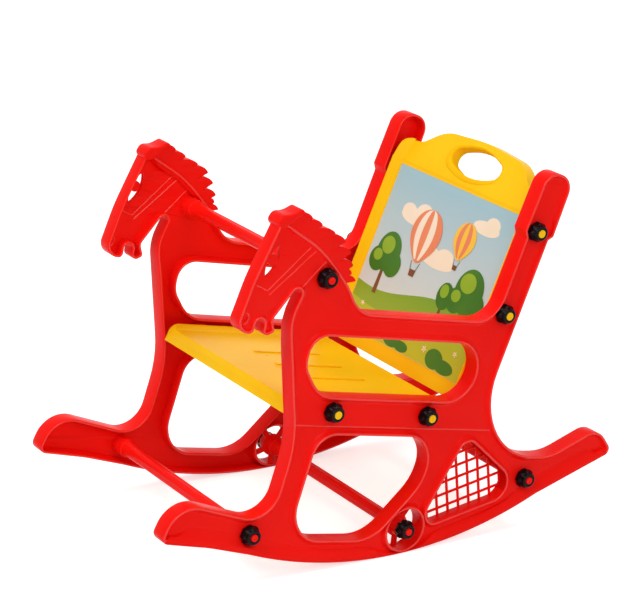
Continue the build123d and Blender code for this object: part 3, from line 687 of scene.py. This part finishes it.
nut_mesh = turned(NUT_ROWS, 64, nut_radius)
bar_mesh = turned(BAR_ROWS, 48, bar_radius)
tip_mesh = turned(TIP_ROWS, 32, lambda x, r, t: r)
for name, stud in STUDS.items():
    foot = face_x(stud[1]) + NUT_GAP
    for side, outward in (("left", 1), ("right", -1)):
        node = f"{side}_{name}_nut"
        piece(f"{node}_grip", [nut_mesh], black, node, [node], at_stud(stud, foot, outward),
              angle=50)
    if name in BARS:
        ends = []
        for outward in (1, -1):
            end = tip_mesh.copy()
            end.transform(Matrix.Translation((foot * outward, 0, 0)) @ facing(outward))
            ends.append(end)
        piece(f"{name}_rod", [bar_mesh, *ends], red, "frame", [f"{name}_bar"],
              at_stud(stud, 0, 1), angle=50)

# Seat and backrest keep their CAD solids, with their edges eased
for node, width in (("seat", 0.0022), ("backrest", 0.0026)):
    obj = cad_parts[node]
    weld = obj.modifiers.new("weld", "WELD")
    weld.merge_threshold = 1e-5
    flat = obj.modifiers.new("flat", "DECIMATE")
    flat.decimate_type = "DISSOLVE"
    flat.angle_limit = radians(1)
    ease = obj.modifiers.new("ease", "BEVEL")
    ease.width = width
    ease.segments = 3
    ease.limit_method = "ANGLE"
    ease.angle_limit = radians(40)
    obj.data.materials.clear()
    obj.data.materials.append(yellow)

# Frames of the backrest: BACK at its lower studs, PRINT on the front of the sheet; across, up, forward
back_low, back_high = Vector(STUDS["back_lower"]), Vector(STUDS["back_upper"])
base = SIDE @ Vector((*back_low, 0))
up = (SIDE.to_3x3() @ Vector((*(back_high - back_low).normalized(), 0))).normalized()
front = Vector((1, 0, 0)).cross(up)
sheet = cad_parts["picture_sheet"]
level = max((sheet.matrix_world @ v.co - base).dot(front) for v in sheet.data.vertices)
PRINT = Matrix.Translation(base + front * level) @ Matrix((
    (MM, 0, 0, 0),
    (0, MM * up.y, MM * front.y, 0),
    (0, MM * up.z, MM * front.z, 0),
    (0, 0, 0, 1),
))
BACK = Matrix.Translation(base) @ PRINT.to_3x3().to_4x4()

# Side bands and the lip of the hand hole, which soften the solid backrest
BEND, LEAN, BACK_FRONT = 125.0, radians(13.0), 0.5
BAND_RISES = (-127.0, -60.0, 0.0, 60.0, 110.0, 125.0, 132.0, 138.0, 143.0, 147.0, 150.0, 152.5, 154.0, 155.0)
BAND_IN, BAND_OUT, BAND_HEIGHT, BAND_STEPS = 127.8, 137.8, 11.7, 8
BAND_POWER, BAND_SWELL = 1.15, 0.35
FALL_FROM, FALL_SPAN, FALL = 139.0, 16.0, 11.2
SHOULDER_FROM, SHOULDER_R = 149.0, 6.0
HAND_HOLE = rounded([(80.0, 30.0, 15.0), (0.0, 60.0, 105.0), (-80.0, 30.0, 15.0), (0.0, 0.0, 105.0)])
LIP_OUT, LIP_IN, LIP_SHIFT = 3.5, -3.0, Vector((2.5, 1.8))


def band():
    """The slope from the flat of the backrest to its raised side, up to the rounded shoulder."""
    bm = bmesh.new()
    rows = []
    for rise in BAND_RISES:
        flat = BACK_FRONT - tan(LEAN) * max(0.0, rise - BEND)
        lip = flat + BAND_HEIGHT - FALL * (max(0.0, rise - FALL_FROM) / FALL_SPAN) ** 3
        past = max(0.0, rise - SHOULDER_FROM) / SHOULDER_R
        edge = BAND_OUT - SHOULDER_R * (1 - sqrt(max(0.0, 1 - past ** 2)))
        row = [(BAND_IN - 0.2, flat - 0.6)]
        for k in range(BAND_STEPS + 1):
            t = k / BAND_STEPS
            row.append((BAND_IN + (edge - 1.0 - BAND_IN) * t,
                        flat + 0.1 + (lip - flat) * t ** BAND_POWER + BAND_SWELL * sin(pi * t)))
        row += [(edge - 0.3, lip - 0.3), (edge, lip - 1.2), (edge, lip - 8.0)]
        rows.append([bm.verts.new((x, rise, f)) for x, f in row])
    for a, b in zip(rows[:-1], rows[1:]):
        for k in range(len(a) - 1):
            bm.faces.new((a[k], a[k + 1], b[k + 1], b[k]))
    bm.faces.new(rows[-1])
    return mesh_of(bm, "band")


band_mesh = band()
piece("back_left_band", [band_mesh], yellow, "frame", matrix=BACK, angle=50)
piece("back_right_band", [band_mesh], yellow, "frame", matrix=BACK, mirrored=True, angle=50)
CROWN = BACK @ Matrix.Translation((0, BEND, BACK_FRONT)) @ Matrix.Rotation(-LEAN, 4, "X")
lip_hole = [p + LIP_SHIFT for p in moved_out(HAND_HOLE, LIP_IN)]
lip = plate(moved_out(HAND_HOLE, LIP_OUT), [lip_hole], -16.5, 0.8, 2.4, 4)
# The lip takes the slightly darker yellow of painted shade.
piece("hand_hole_lip", [lip], yellow_lip_painted_shade, "frame", matrix=CROWN, angle=50)

# Picture on the backrest: a sky, and flat printed shapes laid over it, in layers
LAYER, INK, INK_STEP = 0.12, 0.04, 0.012
SHEET_FOOT, SHEET_HALF, HILL_STEP = -105.5, 126.5, 6
BAG_TOP, BAG_FOOT, BAG_NARROW = 1.08, 1.33, 0.45


def printed(name, outlines, layer, material):
    """Flat shapes, each a list of points in millimetres across and up the sheet."""
    low = LAYER * layer
    flats = [plate(line, [], low, low + INK + INK_STEP * i, 0.0, 0) for i, line in enumerate(outlines)]
    piece(name, flats, material, "frame", matrix=PRINT)


def hill(rise, swell, length, shift):
    """A rolling hill from the foot of the sheet."""
    steps = range(int(SHEET_HALF), int(-SHEET_HALF) - 1, -HILL_STEP)
    crest = [Vector((x, rise + swell * sin((x + shift) / length))) for x in steps]
    crest[0].x, crest[-1].x = SHEET_HALF, -SHEET_HALF
    return [Vector((-SHEET_HALF, SHEET_FOOT)), Vector((SHEET_HALF, SHEET_FOOT)), *crest]


def trunk(x, y, half, high):
    top = 0.6 * half
    return [Vector(p) for p in ((x - half, y), (x + half, y), (x + top, y + high), (x - top, y + high))]


def balloon(centre, size):
    """Outline of a hot-air balloon's bag."""
    line = []
    for k in range(48):
        turn = 2 * pi * k / 48
        drop = max(0.0, -sin(turn))
        line.append(Vector((centre[0] + size * cos(turn) * (1 - BAG_NARROW * drop**2),
                            centre[1] + size * (BAG_TOP * sin(turn) - 0.25 * drop))))
    return line


def gore(centre, size, left, right):
    """One upright panel of a bag, between two shares of its width."""
    rows = [-1.2 + 0.1 * k for k in range(24)]
    line = []
    for part, order in ((left, rows), (right, rows[::-1])):
        for row in order:
            turn = max(-1.0, min(1.0, row / BAG_TOP if row > 0 else row / BAG_FOOT))
            half = sqrt(1 - turn * turn) * (1 - BAG_NARROW * turn * turn if turn < 0 else 1)
            line.append(Vector((centre[0] + size * part * half,
                                centre[1] + size * max(-BAG_FOOT, min(BAG_TOP, row)))))
    return line


def flower(centre, size):
    line = []
    for k in range(40):
        t = 2 * pi * k / 40
        petal = size * (0.7 + 0.3 * cos(5 * t))
        line.append(Vector((centre[0] + petal * cos(t), centre[1] + petal * sin(t))))
    return line


def ovals(*rows):
    return [oval((x, y), wide, high) for x, y, wide, high in rows]


sheet.data.materials.clear()
sheet.data.materials.append(graded("sky_print", (0.72, 0.74, 0.69), (0.36, 0.56, 0.63), 0.22, 0.40))
cream = ink("cream_print", (0.90, 0.76, 0.56), (0.95, 0.83, 0.66))
lime = graded("lime_print", (0.62, 0.58, 0.02), (0.30, 0.47, 0.03), 0.19, 0.28)
grass = graded("grass_print", (0.42, 0.50, 0.02), (0.16, 0.34, 0.03), 0.19, 0.29)
leaf = ink("leaf_print", (0.030, 0.14, 0.012), (0.09, 0.26, 0.02))
bright_leaf = ink("bright_leaf_print", (0.22, 0.40, 0.02), (0.36, 0.50, 0.03))
bark = ink("bark_print", (0.16, 0.055, 0.015), (0.24, 0.09, 0.025))
coral = ink("coral_print", (0.76, 0.20, 0.09), (0.84, 0.28, 0.13))
gold = ink("gold_print", (0.90, 0.50, 0.04), (0.96, 0.60, 0.08))

printed("print_clouds", ovals(
    (-62, 62, 30, 11), (-48, 70, 17, 13), (-78, 67, 14, 10), (74, 86, 26, 9), (84, 92, 14, 11),
    (8, 22, 34, 10), (20, 29, 18, 12), (-6, 27, 14, 10)), 0, cream)
printed("print_far_hill", [hill(-34, 12, 46, 20)], 1, grass)
printed("print_near_hill", [hill(-62, 9, 58, -40)], 3, lime)
printed("print_trunks", [trunk(-88, -52, 4, 40), trunk(86, -58, 4.5, 44), trunk(46, -46, 3, 26)], 2, bark)
printed("print_crowns", ovals(
    (-88, 6, 24, 27), (-104, -8, 17, 17), (-72, -8, 17, 17), (86, 4, 27, 30), (68, -12, 17, 17),
    (104, -10, 18, 18), (46, -14, 15, 18)), 3, leaf)
printed("print_crown_lights", ovals(
    (-92, 14, 13, 12), (-106, -3, 9, 8), (80, 14, 15, 13), (66, -7, 9, 8), (43, -8, 8, 9)), 4, bright_leaf)
BALLOONS = (("left", (-30, 48), 30.0, coral, cream), ("right", (44, 62), 21.0, gold, coral))
BASKET = (
    ((-0.17, -0.62), (0.17, -0.62), (0.21, -0.32), (-0.21, -0.32)),
    ((-0.20, -0.33), (-0.17, -0.33), (-0.27, 0.03), (-0.30, 0.03)),
    ((0.17, -0.33), (0.20, -0.33), (0.30, 0.03), (0.27, 0.03)),
)
for tag, centre, size, first, second in BALLOONS:
    printed(f"print_{tag}_bag", [balloon(centre, size)], 5, first)
    panels = [gore(centre, size, -0.68, -0.30), gore(centre, size, 0.12, 0.52)]
    printed(f"print_{tag}_panels", panels, 6, second)
    foot = centre[1] - BAG_FOOT * size
    baskets = [[Vector((centre[0] + size * a, foot + size * b)) for a, b in shape] for shape in BASKET]
    printed(f"print_{tag}_basket", baskets, 6, bark)
printed("print_bushes", ovals(
    (-112, -92, 13, 13), (-92, -97, 15, 8), (-20, -94, 18, 11), (2, -98, 14, 7), (70, -92, 17, 13),
    (92, -96, 19, 9)), 5, leaf)
FLOWERS = (((-60, -72), 4.5, 1.4), ((-42, -82), 3.6, 1.1), ((28, -70), 4.2, 1.3), ((46, -86), 4.8, 1.5),
           ((104, -74), 4.0, 1.2), ((-100, -70), 3.6, 1.1), ((12, -84), 3.4, 1.0))
printed("print_flowers", [flower(place, size) for place, size, heart in FLOWERS], 5, cream)
printed("print_flower_hearts", [ring(place, heart, 16) for place, size, heart in FLOWERS], 6, gold)


# Floor, light and camera
LAMP_TARGET = (0, 0, 0.2)


def seen(nodes, links, unseen, whole):
    """A strength that is whole where the camera, a mirror or glass sees it, and unseen elsewhere."""
    path = nodes.new("ShaderNodeLightPath")
    sums = path.outputs["Is Camera Ray"]
    for other in ("Is Glossy Ray", "Is Transmission Ray"):
        add = nodes.new("ShaderNodeMath")
        links.new(sums, add.inputs[0])
        links.new(path.outputs[other], add.inputs[1])
        sums = add.outputs["Value"]
    strength = nodes.new("ShaderNodeMapRange")
    strength.inputs["To Min"].default_value = unseen
    strength.inputs["To Max"].default_value = whole
    links.new(sums, strength.inputs["Value"])
    return strength.outputs["Result"]


def lamp(name, place, size, power):
    data = bpy.data.lights.new(name, "AREA")
    data.shape = "SQUARE"
    data.size = size
    data.energy = power
    obj = bpy.data.objects.new(name, data)
    obj.location = place
    obj.rotation_euler = (Vector(LAMP_TARGET) - Vector(place)).to_track_quat("-Z", "Y").to_euler()
    bpy.context.collection.objects.link(obj)


floor_mesh = bpy.data.meshes.new("floor")
floor_mesh.from_pydata([(-12, -12, 0), (12, -12, 0), (12, 16, 0), (-12, 16, 0)], [], [(0, 1, 2, 3)])
floor = bpy.data.objects.new("floor", floor_mesh)
bpy.context.collection.objects.link(floor)
ground, nodes, links, shader = nodes_of("pale_floor")
shade = noise(nodes, links, nodes.new("ShaderNodeTexCoord"), 1.5)
links.new(ramp(nodes, links, shade, (0.80, 0.80, 0.80), (0.82, 0.82, 0.82)), shader.inputs["Base Color"])
shader.inputs["Roughness"].default_value = 0.9
shader.inputs["Specular IOR Level"].default_value = 0.1
shader.inputs["Emission Color"].default_value = (1, 1, 1, 1)
links.new(seen(nodes, links, 0.0, 0.62), shader.inputs["Emission Strength"])
floor_mesh.materials.append(ground)

lamp("key", (0.4, -2.4, 2.6), 1.6, 44)
lamp("side", (2.8, -0.4, 2.0), 1.4, 27)
lamp("top", (-0.6, 0.6, 3.2), 1.8, 30)
world = bpy.data.worlds.new("studio")
world.use_nodes = True
tree = world.node_tree
background = tree.nodes["Background"]
background.inputs["Color"].default_value = (1, 1, 1, 1)
tree.links.new(seen(tree.nodes, tree.links, 0.42, 1.0), background.inputs["Strength"])
bpy.context.scene.world = world
bpy.context.scene.view_settings.view_transform = "Standard"

SENSOR, FOCAL_PIXELS, IMAGE_WIDTH = 36.0, 2411.46, 636
camera = bpy.data.cameras.new("camera")
camera.sensor_width = SENSOR
camera.lens = SENSOR * FOCAL_PIXELS / IMAGE_WIDTH
camera.clip_start = 0.1
camera.clip_end = 60
viewer = bpy.data.objects.new("camera", camera)
viewer.matrix_world = Matrix((
    (0.5587283, -0.303857, 0.7716823, 2.321836),
    (0.82567, 0.1162335, -0.5520496, -1.692707),
    (0.0780488, 0.9456007, 0.3158286, 1.236282),
    (0, 0, 0, 1),
))
bpy.context.collection.objects.link(viewer)
bpy.context.scene.camera = viewer

bpy.context.view_layer.update()
